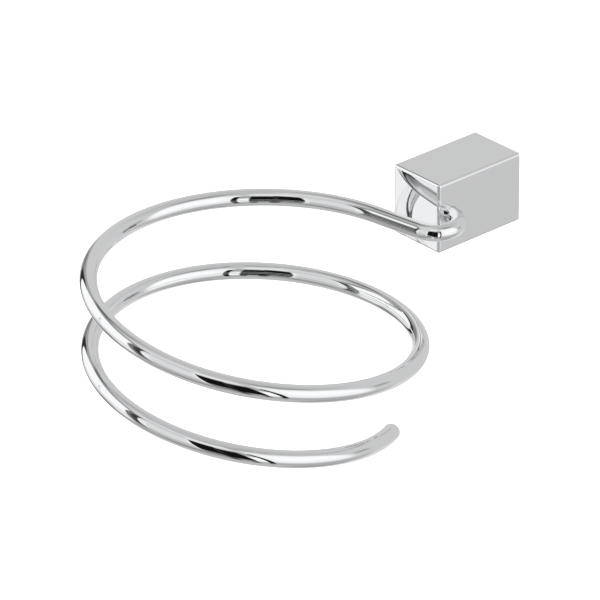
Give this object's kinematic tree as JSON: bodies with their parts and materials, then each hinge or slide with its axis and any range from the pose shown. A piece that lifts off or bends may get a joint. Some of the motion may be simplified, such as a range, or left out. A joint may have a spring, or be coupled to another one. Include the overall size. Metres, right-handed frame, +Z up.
{
  "type": "hair dryer holder",
  "caption": "Wall-mounted chromed hair dryer holder: a rectangular block with a round wire that hooks forward and winds down as an open, tapering coil.",
  "frame": {"origin": "centre of the block's back face, on the wall plane, between the two wall screws", "axes": "+X to the right as seen from the room, +Y into the wall, +Z up; the coil stands out towards -Y"},
  "size_m": [0.1187, 0.1688, 0.0691],
  "materials": {
    "polished_chrome": "mirror-polished chrome plate on brass",
    "chromed_wire": "mirror-polished chrome plate on drawn wire",
    "zinc_plated_steel": "bright zinc plate over machined steel",
    "stainless_screw": "plain stainless, machine cut"
  },
  "bodies": {
    "bracket": {"wall_bracket": "zinc_plated_steel"},
    "holder": {"cover_block": "polished_chrome", "spiral_wire": "chromed_wire", "wire_lock_screw": "stainless_screw"},
    "grub": {"grub_screw": "stainless_screw"}
  },
  "joints": [
    {"name": "holder_lift_off", "type": "slide", "parent": "bracket", "child": "holder", "axis": [0, -1, 0], "range_m": [0, 0.03]},
    {"name": "grub_screw_back_out", "type": "slide", "parent": "holder", "child": "grub", "axis": [0, 0, -1], "range_m": [0, 0.0021]}
  ]
}
